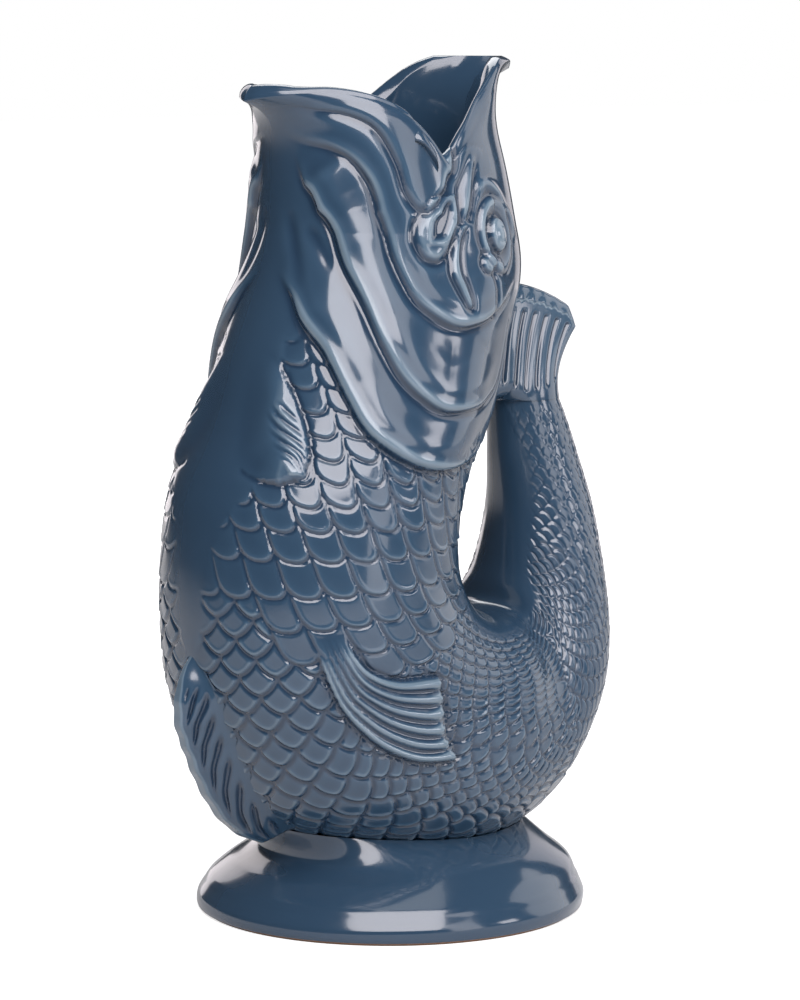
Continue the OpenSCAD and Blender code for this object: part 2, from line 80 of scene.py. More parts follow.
# Half of the rim: share of the way round, then shares of the mouth's length, half width and body's height
RIM = np.array([
    (0, -.535, 0, .951), (.083, -.515, .15, .955), (.178, -.463, .333, .9586), (.267, -.36, .571, .9586),
    (.356, -.247, .794, .945), (.433, -.144, .946, .917), (.5, -.062, 1, .876), (.572, .031, .968, .91),
    (.656, .123, .81, .946), (.744, .22, .69, .977), (.822, .3, .51, .992), (.911, .396, .254, .996),
    (1, .46, 0, .986)])
TAIL_TOP = 16
FLIP = np.array([1, -1, 1.0])


def curve(p, k):
    """Smooth curve through the rows of p at places k counted in rows."""
    p = np.asarray(p, float)
    if p.ndim == 1:
        p = p[:, None]
    k = np.asarray(k, float)
    i = np.clip(np.floor(k).astype(int), 0, len(p) - 2)
    f = (k - i)[..., None]
    p0, p1, p2, p3 = p[np.maximum(i - 1, 0)], p[i], p[i + 1], p[np.minimum(i + 2, len(p) - 1)]
    return (2 * p1 + (p2 - p0) * f + (2 * p0 - 5 * p1 + 4 * p2 - p3) * f * f
            + (3 * p1 - p0 - 3 * p2 + p3) * f ** 3) / 2


def ring_table():
    """Back x and z, front x and z, half width and power of each ring, in millimetres."""
    rows = []
    for back, front, width in zip(BACK, FRONT, WIDTH):
        back_x = back[0] * belly_d + back[1] * finger_gap
        front_x = back_x + front[1] * grip_d if front[1] > 0 else front[0] * belly_d
        rows.append((back_x, belly_z + back[2] * body_h, front_x, belly_z + front[2] * body_h,
                     (width[0] * belly_w + width[1] * grip_w) / 2, width[2]))
    return np.array(rows)


RINGS = ring_table()


def ring_point(t, phi):
    s = curve(RINGS, t - 1)
    a = np.radians(phi)
    c = np.sign(np.cos(a)) * np.abs(np.cos(a)) ** s[..., 5]
    n = np.sign(np.sin(a)) * np.abs(np.sin(a)) ** s[..., 5]
    return np.stack([(s[..., 0] + s[..., 2]) / 2 + (s[..., 2] - s[..., 0]) / 2 * c, -s[..., 4] * n,
                     (s[..., 1] + s[..., 3]) / 2 + (s[..., 3] - s[..., 1]) / 2 * c], -1)


def skin(t, phi):
    """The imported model's outer skin: t is 0 at the rim, 16 at the tail's top; phi 0 is the belly side."""
    t, phi = np.broadcast_arrays(np.asarray(t, float), np.asarray(phi, float))
    body = ring_point(np.maximum(t, 1), phi)
    turned = np.abs((phi + 180) % 360 - 180)
    sign = np.where((phi + 180) % 360 - 180 < 0, 1.0, -1.0)
    rim = curve(RIM, np.interp(turned / 180, RIM[:, 0], np.arange(len(RIM))))
    rim_x = rim[..., 1] * mouth_l
    rim_y = sign * np.abs(rim[..., 2]) * mouth_w / 2
    rim_z = belly_z + rim[..., 3] * body_h
    neck = ring_point(np.ones_like(t), phi)
    u = np.clip(1 - t, 0, 1)
    flare = 0.04 * u + 0.96 * u ** 7
    pinch = 1 - 0.15 * 6.75 * u * u * (1 - u) * ((1 - np.cos(np.radians(phi))) / 2) ** 1.5
    head = np.stack([(neck[..., 0] + (rim_x - neck[..., 0]) * flare) * pinch,
                     (neck[..., 1] + (rim_y - neck[..., 1]) * flare) * pinch,
                     neck[..., 2] + (rim_z - neck[..., 2]) * u], -1)
    return np.where((t < 1)[..., None], head, body)


def unit(v):
    return v / np.maximum(np.linalg.norm(v, axis=-1, keepdims=True), 1e-9)


def smooth(x):
    """Eases from 0 to 1 while x goes from 0 to 1."""
    x = np.clip(x, 0, 1)
    return x * x * (3 - 2 * x)


def bell(x):
    """1 at x = 0, and nearly 0 beyond 2 on both sides."""
    return np.exp(-x ** 2)


def outward(t, phi):
    t = np.asarray(t, float)
    along = skin(np.minimum(t + 0.02, TAIL_TOP), phi) - skin(np.maximum(t - 0.02, 0), phi)
    return unit(np.cross(along, skin(t, phi + 2.0) - skin(t, phi - 2.0)))


def mm_per_t(t, phi):
    """Millimetres of skin along one unit of t."""
    return float(np.linalg.norm(skin(t + 0.01, phi) - skin(t - 0.01, phi))) / 0.02


def row_width(t, phi, dphi):
    """Millimetres of skin across dphi degrees."""
    return float(np.linalg.norm(skin(t, phi + dphi / 2) - skin(t, phi - dphi / 2)))


# Fine grid over the left flank, mirrored later, with rows about half a millimetre apart
dense_t = np.linspace(0, TAIL_TOP, 3201)
steps = np.max([np.linalg.norm(np.diff(skin(dense_t, a), axis=0), axis=1) for a in (5, 45, 90, 130)], axis=0)
want = np.interp((dense_t[1:] + dense_t[:-1]) / 2, [0, 3, 6, 10, 12.5, 16], [.46, .46, .5, .5, .42, .36])
count = np.concatenate([[0], np.cumsum(steps / want)])
ROWS = int(count[-1])
ROW_T = np.interp(np.linspace(0, count[-1], ROWS), count, dense_t)
HALF = 256
COL_PHI = np.linspace(0, 180, HALF + 1)
AT_T, AT_PHI = np.meshgrid(ROW_T, COL_PHI, indexing="ij")
BASE = skin(AT_T, AT_PHI)
NORMAL = outward(AT_T, AT_PHI)

# The kink where the head leaves the first ring is eased
ease_reach, ease_rounds, ease_share = 0.45, 260, 0.45
low, top = np.searchsorted(ROW_T, [1 - ease_reach, 1 + ease_reach])
for field in (BASE, NORMAL):
    part = field[low:top]
    weight = (1 - ((ROW_T[low + 1:top - 1] - 1) / ease_reach) ** 2)[:, None, None] * ease_share
    for _ in range(ease_rounds):
        part[1:-1] += weight * (part[:-2] + part[2:] - 2 * part[1:-1])
NORMAL = unit(NORMAL)

# Directions towards the tail and round the body, and the grid's steps along them
down = np.gradient(BASE, axis=0)
ROW_STEP = np.linalg.norm(down, axis=-1)
DOWN = unit(down)
side = np.gradient(BASE, axis=1)
COL_STEP = np.linalg.norm(side, axis=-1)
ACROSS = unit(side - DOWN * np.sum(side * DOWN, axis=-1, keepdims=True))

# Height of the relief over the smooth skin, in millimetres
height = np.zeros_like(AT_T)


def inside(poly):
    """Grid points inside a polygon of (t, phi) corners."""
    hit = np.zeros(AT_T.shape, bool)
    q = np.array(poly, float)
    for (t0, p0), (t1, p1) in zip(q, np.roll(q, -1, axis=0)):
        if p0 == p1:
            continue
        cross = ((AT_PHI > p0) != (AT_PHI > p1)) & (AT_T < (t1 - t0) * (AT_PHI - p0) / (p1 - p0) + t0)
        hit ^= cross
    return hit


def fine(line, n=160):
    line = np.array(line, float)
    return curve(line, np.linspace(0, len(line) - 1, n))


def distance(line):
    """Distance in millimetres from each grid point to a line of (t, phi), and the share along it."""
    far, reach_t, last_t = 99.0, 2.2, 11.0
    line = np.array(line, float)
    pts = skin(line[:, 0], line[:, 1])
    out, share = np.full(AT_T.shape, far), np.zeros(AT_T.shape)
    first = int(np.searchsorted(ROW_T, max(0, line[:, 0].min() - reach_t)))
    last = int(np.searchsorted(ROW_T, min(last_t, line[:, 0].max() + reach_t)))
    g = BASE[first:last].reshape(-1, 3)
    best, where = np.full(len(g), 1e9), np.zeros(len(g))
    for i, q in enumerate(pts):
        d = ((g - q) ** 2).sum(-1)
        hit = d < best
        best[hit], where[hit] = d[hit], i
    # the nearest point gives the two segments beside it, and the nearer segment gives the distance
    dist, place = np.full(len(g), 1e9), np.zeros(len(g))
    for k in (where.astype(int) - 1, where.astype(int)):
        k = np.clip(k, 0, len(pts) - 2)
        ab, ag = pts[k + 1] - pts[k], g - pts[k]
        h = np.clip((ag * ab).sum(-1) / np.maximum((ab * ab).sum(-1), 1e-9), 0, 1)
        d = np.linalg.norm(ag - ab * h[:, None], axis=-1)
        hit = d < dist
        dist[hit], place[hit] = d[hit], (k + h)[hit]
    out[first:last] = dist.reshape(last - first, -1)
    share[first:last] = place.reshape(last - first, -1) / (len(pts) - 1)
    return out, share


def crease(line, depth, width, start, end):
    """Cuts a soft groove along a line, or raises a soft ridge where the depth is negative."""
    global height
    d, share = distance(fine(line, 80))
    taper = smooth(share / start) * smooth((1 - share) / end)
    height = height - depth * taper * bell(d / width)


def blur(a, n=1):
    for _ in range(n):
        b = np.pad(a, 1, mode="edge")
        b[:, 0], b[:, -1] = b[:, 2], b[:, -3]
        a = (b[:-2, 1:-1] + b[2:, 1:-1] + b[1:-1, :-2] + b[1:-1, 2:] + 2 * a) / 6
    return a


def scale(t, phi, width, length, depth, square, skew=0.0, above=None, gap=1.0):
    """Paints one scale: a plate that overlaps the next ones and whose free edge points to the tail."""
    i = int(np.clip(np.searchsorted(ROW_T, t), 1, ROWS - 2))
    j = int(np.clip(round(phi / 180 * HALF), 0, HALF))
    half_share, least_step, margin = 0.53, 0.02, 1.5
    half_w = half_share * width
    above = 1.25 * length if above is None else above
    near_rows = int((max(above, length) + margin) / max(ROW_STEP[i, j], least_step)) + 3
    near_cols = int(1.5 * half_w / max(COL_STEP[i, j], least_step)) + 3
    r0, r1 = max(i - near_rows, 0), min(i + near_rows, ROWS)
    c0, c1 = max(j - near_cols, 0), min(j + near_cols, HALF + 1)
    offset = BASE[r0:r1, c0:c1] - skin(t, phi)
    a = offset @ DOWN[i, j]
    b = offset @ ACROSS[i, j] - skew * a
    # the distance inward from the plate's rounded outline
    n = square
    qa, qb = np.maximum(a, 0) / length, np.abs(b) / half_w
    q = np.maximum((qa ** n + qb ** n) ** (1 / n), 1e-6)
    grad = np.sqrt((qa ** (n - 1) / length) ** 2 + (qb ** (n - 1) / half_w) ** 2) * q ** (1 - n)
    d = (1 - q) / np.maximum(grad, 1e-3)
    soft = gap * min(1.0, width / 8)
    # a plate is nearly flat, has a thin raised rim at its free edge and drops into a groove behind it
    e = smooth(d / (0.5 * soft))
    rim = bell((d - 0.75 * soft) / (0.38 * soft))
    plate = depth * (-0.36 + 0.14 * np.clip(a / length, -1, 1) + 0.2 * rim)
    plate = plate * e - depth * (1 - e)
    near = (a > -above) & (d > 0)
    halo = (a > -0.5 * above) & (d <= 0) & (d > -0.85 * soft)
    old = height[r0:r1, c0:c1]
    groove = -depth * (1 - 0.62 * smooth(-d / (0.85 * soft)))
    height[r0:r1, c0:c1] = np.where(near, plate, np.where(halo, np.minimum(old, groove), old))


def lattice(t_rows, angles, shift, keep, length, square, skew=0.0, depth=1.0, low=0.0):
    """Rows of scales at t_rows; angles are one row's columns. Painted from the tail to the head."""
    cells = []
    step = np.gradient(angles)
    for i, t in enumerate(t_rows):
        for angle, dphi in zip(angles, step):
            phi = angle + dphi * ((i * shift) % 1.0)
            if -6 < phi < 186 and keep(t, phi):
                cells.append((t, phi, dphi))
    for t, phi, dphi in sorted(cells, key=lambda c: -c[0]):
        w = row_width(t, phi, dphi)
        la = length(t, phi)
        scale(min(t + low * la / mm_per_t(t, phi), TAIL_TOP), min(max(phi, 0), 180), w, la * (1 - 0.9 * low),
              depth * min(1.0, 0.4 + w / 16), square, skew, la * (1.15 + low))


def rows_by(pitch, t0, t1, phi):
    """t values spaced by pitch(t) millimetres along the line at phi."""
    out, t = [], t0
    while t < t1:
        out.append(t)
        t += pitch(t) / max(mm_per_t(t, phi), 1.0)
    return out


# Scales of the tail: small ones, then larger and softer ones towards the fin
def tail_pitch(t):
    return np.interp(t, [10.4, 11.4, 12, 13, 14, 15, 16], [5.0, 4.6, 4.3, 4.1, 4.0, 3.8, 3.6])


def tail_length(t, phi):
    return tail_pitch(t) * np.interp(phi, [0, 60, 130], [1.3, 1.2, 1.05])


def on_tail(t, phi):
    return phi < 172


for first, last, pitch, depth in [(13.3, 16.2, 180 / 11, 0.5), (10.9, 13.3, 180 / 14, 0.8)]:
    lattice(rows_by(tail_pitch, first, last, 55), np.arange(-2, 35) * pitch, 0.5, on_tail, tail_length, 1.9,
            depth=depth)


# Scales of the underside and lower belly: rows follow the path's length, so they slope
def belly_pitch(phi):
    return np.interp(phi, [0, 50, 72, 100, 140, 180], [5.7, 5.5, 4.3, 3.4, 3.1, 2.9])


BELLY_ANGLES = 60
belly_t = np.linspace(6.2, 11.4, 261)
belly_counts = []
for angle in np.linspace(0, 180, BELLY_ANGLES + 1):
    path_steps = np.linalg.norm(np.diff(skin(belly_t, angle), axis=0), axis=1)
    belly_counts.append(np.concatenate([[0], np.cumsum(path_steps / belly_pitch(angle))]))


def belly_row(k, phi):
    """t of row k at phi, or None past the last row."""
    f = np.clip(phi, 0, 180) / 180 * BELLY_ANGLES
    i = min(int(f), BELLY_ANGLES - 1)
    c = belly_counts[i] * (1 - f + i) + belly_counts[i + 1] * (f - i)
    return float(np.interp(k, c, belly_t)) if k < c[-1] else None


belly_cols = [-16.0]
while belly_cols[-1] < 185:
    step = float(np.interp(belly_cols[-1], [0, 38, 58, 76, 180], [15.5, 15, 10.5, 7.6, 7.0]))
    belly_cols.append(belly_cols[-1] + step)
cells = []
for k in range(60):
    for angle, dphi in zip(belly_cols, np.gradient(belly_cols)):
        phi = angle + dphi * (0.5 if k % 2 else 0.0)
        if -7 < phi < 176:
            t = belly_row(k, phi)
            if t is not None and t < 11.15:
                cells.append((t, phi, dphi))
for t, phi, dphi in sorted(cells, key=lambda c: -c[0]):
    w = row_width(t, phi, dphi)
    length = float(belly_pitch(phi) * np.interp(phi, [45, 75], [1.15, 1.45]))
    square = float(np.interp(phi, [45, 75], [1.6, 1.65]))
    gap = float(np.interp(phi, [45, 75], [1.5, 1.15]))
    scale(t, min(max(phi, 0), 180), w, length, min(1.05, 0.5 + w / 15), square, gap=gap)


# Scales of the flank and shoulder
def flank_pitch(t):
    return np.interp(t, [2.4, 4, 5, 6, 7.6], [6.6, 7.0, 7.8, 8.5, 8.8])


def flank_length(t, phi):
    return flank_pitch(t) * np.interp(phi, [0, 90, 150], [1.05, 1.0, 0.8])


def on_flank(t, phi):
    last_t = np.interp(phi, [0, 20, 47, 60, 96, 120, 140, 180], [6.25, 6.4, 7.15, 7.4, 7.75, 7.4, 6.9, 6.6])
    return t < last_t


lattice(rows_by(flank_pitch, 2.3, 8.0, 62), np.arange(-2, 17) * (180 / 13.4), 0.42, on_flank, flank_length,
        2.4, skew=0.40, low=0.40)
upper_tail = smooth((AT_T - 12.9) / 0.8)
height = height * (1 - upper_tail) + blur(height, 5) * upper_tail
SCALES = height * (1 - 0.45 * smooth((26 - AT_PHI) / 8) * smooth((7.2 - AT_T) / 0.4))

# Smooth parts of the skin: the chest band, the ledge below the finger gap and the inner face of the tail
chest = np.interp(ROW_T, [0, 3, 4.9, 5.3, 5.9, 6.5, 7.2, 7.6, 16], [20, 20, 27, 21, 13, 8, 6, -4, -4])
bare = smooth((chest[:, None] + 3 - AT_PHI) / 4)
ledge = np.interp(ROW_T, [6.2, 6.7, 7.5, 8, 8.5, 9.6, 11.3, 12.2, 12.8, 13.5, 14.2, 14.8, 15.1, 15.4, 16],
                  [190, 141, 137, 134, 139, 150, 148, 143, 152, 148, 140, 133, 137, 152, 160])
bare = np.maximum(bare, smooth((AT_PHI - ledge[:, None] + 9) / 11))
bare = np.maximum(bare, 0.95 * smooth((AT_T - 15.65) / 0.3))
SUNK = 0.25 * np.interp(ROW_T, [0, 4, 5, 16], [0, 0, 1, 1])[:, None]
height = SCALES * (1 - bare) - SUNK * bare

# Gill flaps, drawn from the lowest to the highest
LOWER_FLAP = [
    (1.95, 4.3), (2.31, 17), (2.65, 25.3), (2.98, 36.3), (3.27, 43), (3.61, 50), (4.07, 60.3), (4.38, 71.7),
    (4.67, 86.7), (4.79, 101), (4.75, 118), (4.56, 134), (4.2, 141), (3.6, 143), (3.0, 142), (2.4, 143)]
MIDDLE_FLAP = [
    (.5, 13), (.75, 17.7), (.89, 23.7), (1.32, 32), (1.91, 39), (2.46, 49.7), (2.93, 58.7), (3.36, 68.3),
    (3.67, 79.3), (3.86, 90.7), (3.86, 104.7), (3.78, 118), (3.56, 128), (3.1, 131), (2.6, 130)]
UPPER_FLAP = [
    (.3, 4.7), (.4, 20.3), (.47, 33.7), (.61, 43.7), (.86, 50.7), (1.37, 54.7), (1.86, 58.7), (2.33, 67),
    (2.6, 77.7), (2.76, 90.3), (2.72, 103), (2.6, 112), (2.42, 121), (2.2, 126)]
# each flap: its free edge, the corners that close it, its height, and the shares that taper its two ends
FLAPS = [
    (LOWER_FLAP, [(2.0, 160), (1.2, 150), (.9, 60), (1.2, 4)], 2.5, 0.14, 0.06),
    (MIDDLE_FLAP, [(2.0, 140), (1.2, 140), (.3, 100), (.1, 20)], 2.7, 0.16, 0.06),
    (UPPER_FLAP, [(1.8, 132), (1.0, 138), (.1, 100), (-.1, 50), (-.1, 4)], 2.5, 0.30, 0.12)]
GILL, SNOUT, EYE, PECTORAL, PELVIC = 1, 2, 3, 4, 5
label = np.zeros(AT_T.shape, int)
edge_zone = np.zeros(AT_T.shape)
calm = smooth((3.0 - AT_T) / 0.3)
height = height * (1 - calm)
for line, rest, rise, start, end in FLAPS:
    edge = fine(line)
    region = inside([tuple(q) for q in edge] + rest)
    d, share = distance(edge)
    along = blur(smooth(share / start) * smooth((1 - share) / end), 30)
    along = along * smooth((AT_PHI - 2) / 12)
    roll = smooth(np.sqrt(np.clip(d / 2.1, 0, 1)))
    edge_zone = np.maximum(edge_zone, smooth((6 - d) / 2.5))
    # each flap stands highest near its rolled edge and sinks under the one above it
    body = rise * (0.42 + 0.58 * (1 - smooth((d - 4.0) / 13))) - 0.22 * bell((d - 4.6) / 1.8)
    plate = body * roll * (1 - 0.8 * smooth((d - 13) / 9))
    fade = along * (1 - 0.8 * smooth((AT_PHI - 92) / 36))
    left_over = np.minimum(height, 1.5) * (1 - smooth(d / 9)) * (1 - fade) * 0.5
    new = np.where(region, plate * fade + left_over, height)
    groove = 0.6 * along * (1 - smooth(d / 2.2))
    height = np.where(~region & (d < 2.2), height - groove, new)
    label[region & (d < 26) & (share > 0.12) & (share < 0.97)] = GILL
label[(AT_T < 0.34) | (AT_PHI > 143)] = 0
nape = 1.3 * smooth((AT_PHI - 100) / 22) * smooth((172 - AT_PHI) / 20)
height = height - nape * smooth((AT_T - 2.2) / 0.8) * smooth((4.9 - AT_T) / 0.8)
edge_zone = edge_zone * smooth((4.2 - AT_T) / 0.8)
height = height * (1 - edge_zone) + blur(height, 3) * edge_zone

# The fold of the lip that hangs from the corner of the mouth
LIP_FOLD = [
    (.04, 4), (.09, 25.7), (.13, 35.3), (.18, 45.3), (.28, 53.7), (.55, 60.7), (.82, 64.7), (.97, 70.3),
    (.93, 76.3), (.7, 82.7), (.37, 86.3), (.15, 91.3), (.0, 96)]
edge = fine(LIP_FOLD)
region = inside([tuple(q) for q in edge] + [(-.2, 99), (-.2, 4)])
d, share = distance(edge)
along = smooth(share / 0.35)
fold = height * 0.5 + along * (0.25 + 1.25 * smooth(np.sqrt(np.clip(d / 2.6, 0, 1))))
height = np.where(region, fold, height)
height = np.where(~region & (d < 3), height - 0.7 * along * (1 - smooth(d / 3)), height)
height = height + 0.35 * smooth((0.10 - AT_T) / 0.10)

# Creases of the throat and soft pleats beside it
crease([(1.28, 19.7), (1.63, 28), (2.01, 35.3)], 0.5, 2.0, 0.35, 0.35)
crease([(.9, 8), (1.6, 14), (2.3, 24)], 0.5, 2.2, 0.4, 0.4)
crease([(1.6, 26), (2.3, 37), (2.9, 47), (3.4, 57)], -0.5, 4.0, 0.4, 0.4)
crease([(.9, 38), (1.5, 44), (2.1, 52), (2.6, 63)], -0.6, 4.0, 0.4, 0.4)

# Nostril, leaf-shaped fold and the creases that run up to the jaw
LOBE = [(1.0, 71), (1.32, 67.3), (1.58, 67), (1.82, 71), (1.87, 78), (1.65, 85), (1.29, 90.3), (.57, 91.3),
        (.31, 98), (.15, 106)]
NOSTRIL = [
    (1.54, 74.7), (1.27, 75.7), (1.06, 78.7), (.87, 82.7), (.82, 86), (1.07, 86.7), (1.34, 84.3),
    (1.52, 80.7)]
edge = fine(LOBE)
mound = inside([tuple(q) for q in edge if q[0] > 0.6] + [(.75, 84), (.85, 76)])
d, share = distance(edge)
height = np.where(mound, height + 1.0 * smooth(d / 3.2), height)
crease(LOBE, 0.8, 1.15, 0.1, 0.3)
label[mound & (AT_T > 0.75) & (AT_T < 2.1)] = SNOUT
edge = fine(NOSTRIL + [NOSTRIL[0]])
d, share = distance(edge)
hollow = inside([tuple(q) for q in edge])
height = np.where(hollow, height - 0.9 * smooth(d / 1.4), height + 0.45 * bell((d - 0.9) / 0.8))
LEAF = [(1.29, 87.3), (1.64, 84.3), (1.97, 83), (2.21, 86), (2.49, 92), (2.5, 95), (2.22, 91.7), (1.98, 89),
        (1.65, 89.7), (1.3, 94.7)]
edge = fine(LEAF)
d, share = distance(edge)
blade = inside([tuple(q) for q in edge])
height = np.where(blade, height + 0.9 * smooth(d / 1.8), height)
crease(LEAF, 0.75, 0.9, 0.1, 0.1)
label[blade] = SNOUT
crease([(1.3, 94.7), (.95, 98), (.6, 102), (.3, 108)], 0.8, 1.3, 0.1, 0.4)
crease([(1.25, 91), (.85, 95), (.5, 99), (.25, 104)], -0.7, 1.5, 0.3, 0.4)

# The eye in its socket, with the curl of the fold below it
eye_t, eye_phi, eye_r = 1.5, 112.0, 4.9
i, j = int(np.searchsorted(ROW_T, eye_t)), int(round(eye_phi / 180 * HALF))
offset = BASE - skin(eye_t, eye_phi)
b = offset @ ACROSS[i, j]
r = np.sqrt((offset ** 2).sum(-1) + 0.75 * b * b)
ball = 0.4 + 1.8 * np.sqrt(np.clip(1 - (r / eye_r) ** 2, 0, 1)) - 0.25 * bell((r - 2.5) / 0.5)
socket = 1.1 * bell((r - 9.3) / 1.7) - 0.8 * bell((r - 5.6) / 0.8) - 0.5 * bell((r - 11.6) / 0.9)
socket = socket * (0.75 + 0.25 * np.sign(eye_phi - AT_PHI))
height = np.where(r < eye_r, ball, height + socket)
label[r < eye_r] = EYE
r = np.linalg.norm(BASE - skin(1.9, 103.0), axis=-1)
height = height + 0.9 * smooth((3.0 - r) / 1.6) - 0.5 * bell((r - 3.2) / 0.6)
crease([(2.0, 105), (2.3, 109), (2.55, 111), (2.7, 111)], 0.7, 1.0, 0.15, 0.25)
crease([(.8, 101), (.7, 108), (.85, 118), (1.2, 127), (1.7, 131)], -0.8, 1.6, 0.2, 0.2)


def fan_uv(upper, lower):
    """Place along and across a fan between two lines of (t, phi), for every grid point."""
    n, t_weight = 161, 40.0
    a, b = fine(upper, n), fine(lower, n)
    u_out, v_out = np.full(AT_T.shape, -1.0), np.full(AT_T.shape, -1.0)
    lowest = min(a[:, 0].min(), b[:, 0].min()) - 0.1
    highest = max(a[:, 0].max(), b[:, 0].max()) + 0.1
    r0, r1 = np.searchsorted(ROW_T, [lowest, highest])
    pt, pp = AT_T[r0:r1] * t_weight, AT_PHI[r0:r1]
    last = None
    for i in range(n):
        ex, ey = (b[i, 0] - a[i, 0]) * t_weight, b[i, 1] - a[i, 1]
        px, py = pt - a[i, 0] * t_weight, pp - a[i, 1]
        c = ex * py - ey * px
        v = (ex * px + ey * py) / (ex * ex + ey * ey)
        if last is not None:
            hit = (np.sign(c) != np.sign(last)) & (v > -0.02) & (v < 1.02)
            f = last / np.where(last == c, 1, last - c)
            u_out[r0:r1] = np.where(hit, (i - 1 + f) / (n - 1), u_out[r0:r1])
            v_out[r0:r1] = np.where(hit, v, v_out[r0:r1])
        last = c
    return u_out, v_out


# Pectoral fin: a broad lobe that grows out of the chest and shows its rays on its rear edge
PECTORAL_FRONT = [(3.0, 4), (3.46, 5.7), (3.99, 9.3), (4.45, 14), (4.73, 19.3), (4.87, 27.3), (4.94, 36)]
PECTORAL_REAR = [(3.0, 8), (3.17, 19.3), (3.48, 27.7), (3.8, 34.3), (4.08, 39), (4.39, 43), (4.8, 45)]
u, v = fan_uv(PECTORAL_FRONT, PECTORAL_REAR)
region = (u >= 0) & (v >= 0) & (v <= 1)
front, _ = distance(fine(PECTORAL_FRONT[:5]))
back, _ = distance(np.concatenate([fine(PECTORAL_REAR), fine(PECTORAL_FRONT[4:][::-1], 60)]))
body = 2.2 * smooth(np.sqrt(np.clip(back / 7.0, 0, 1))) * smooth(u / 0.5) * smooth(front / 15)
ray = bell(((u - 1.05 * v) * 8 % 1 - 0.5) / 0.2) * smooth((v - 0.5) / 0.2) * smooth((u - 0.36) / 0.1)
ray = ray * smooth((0.97 - v) / 0.1)
lobe = body - SUNK + (height + SUNK) * (1 - smooth(u / 0.3)) - 0.75 * ray
height = np.where(region, lobe, height)
height = np.where(~region & (back < 1.9) & (AT_T > 3.3), height - 0.4 * (1 - smooth(back / 1.9)), height)
label[region & (u > 0.05)] = PECTORAL

# Pelvic fin: ribs that sweep from the flank down and back, and end in a straight edge
PELVIC_UPPER = [(7.16, 63.5), (7.4, 67.3), (7.6, 70.7), (7.76, 75.3), (7.92, 82), (8.06, 90.7), (8.18, 96.7)]
PELVIC_LOWER = [
    (7.16, 52), (7.46, 54.7), (7.76, 57), (8.08, 59.7), (8.4, 65), (8.74, 72), (9.04, 78), (9.3, 84)]
u, v = fan_uv(PELVIC_UPPER, PELVIC_LOWER)
region = (u >= 0) & (v >= 0) & (v <= 1)
d, _ = distance([q for q in fine(PELVIC_UPPER)] + [q for q in fine(PELVIC_LOWER)][::-1])
rib = (0.5 - 0.5 * np.cos(2 * np.pi * 6 * v)) ** 0.8
body = (0.55 + 1.25 * rib) * smooth(d / 1.2) * (0.55 + 0.45 * smooth(u / 0.5))
grown = smooth(u / 0.2)
height = np.where(region, height * (1 - grown) + np.maximum(body, -0.3) * grown, height)
moat = 0.7 * (1 - smooth(d / 1.5)) * smooth((AT_T - 7.3) / 0.4)
height = np.where(~region & (d < 1.5), height - moat, height)
label[region] = PELVIC
height = blur(height, 1)


# The whole skin: the left half and its mirror image
def mirrored(left, right):
    return np.concatenate([left[:, :-1], right[:, 1:][:, ::-1]], axis=1)


left = BASE + NORMAL * height[..., None]
full = mirrored(left, left * FLIP)
full_label = mirrored(label, -label)
relief = height - blur(height, 40)
full_relief = mirrored(relief, relief)
COLS = full.shape[1]

# The lip rolls over into the throat, and the inner wall goes all the way to the tail's top
inner_t = np.interp(np.linspace(0, 1, 70), [0, .35, 1], [0.03, 3, TAIL_TOP])
inner_phi = np.concatenate([COL_PHI[:-1], 360 - COL_PHI[1:][::-1]])
inner_t, inner_phi = np.meshgrid(inner_t, inner_phi, indexing="ij")
inner = skin(inner_t, inner_phi) - outward(inner_t, inner_phi) * wall
middle = (full[0] + inner[0]) / 2
half = (full[0] - inner[0]) / 2
reach = np.linalg.norm(half, axis=-1)
highest_z = cad_box[1][2] / MM - 0.1
room = np.clip(highest_z - middle[:, 2], 0.2 * reach, 0.85 * reach)
up = np.array([0, 0, 1.0]) * room[:, None]
roll = [middle + half * math.cos(a) + up * math.sin(a) for a in np.radians(np.arange(20, 180, 20))]
GRID = np.concatenate([inner[::-1], np.array(roll)[::-1], full])
GRID[..., 2] = np.minimum(GRID[..., 2], highest_z)
hidden_rows = len(inner) + len(roll)
grid_t = np.concatenate([inner_t[::-1, 0], np.zeros(len(roll)), ROW_T])
grid_relief = np.concatenate([np.zeros((hidden_rows, COLS)), full_relief])
grid_label = np.concatenate([np.zeros((hidden_rows, COLS), int), full_label])


def closed_normals(points):
    """Normals of a grid whose columns close into a ring."""
    return unit(np.cross(np.gradient(points, axis=0), np.roll(points, -1, 1) - np.roll(points, 1, 1)))


def open_normals(points):
    return unit(np.cross(np.gradient(points, axis=0), np.gradient(points, axis=1)))


GRID_NORMAL = closed_normals(GRID)


def add_mesh(name, verts, faces, nodes, material, uv, normals, values=None):
    """A smooth mesh from millimetre points and quads, riding on the body and standing for CAD nodes."""
    m = bpy.data.meshes.new(name)
    m.from_pydata((np.asarray(verts) * MM).tolist(), [], np.asarray(faces).tolist())
    m.shade_smooth()
    layer = m.uv_layers.new(name="OFBake")
    layer.data.foreach_set("uv", np.asarray(uv, np.float32).ravel())
    if values is None:
        values = np.zeros(len(verts))
    att = m.attributes.new("relief", "FLOAT", "POINT")
    att.data.foreach_set("value", values.astype(np.float32))
    m.normals_split_custom_set_from_vertices(normals.tolist())
    m.materials.append(material)
    o = bpy.data.objects.new(name, m)
    bpy.context.scene.collection.objects.link(o)
    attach(o, "root")
    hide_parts(*nodes)


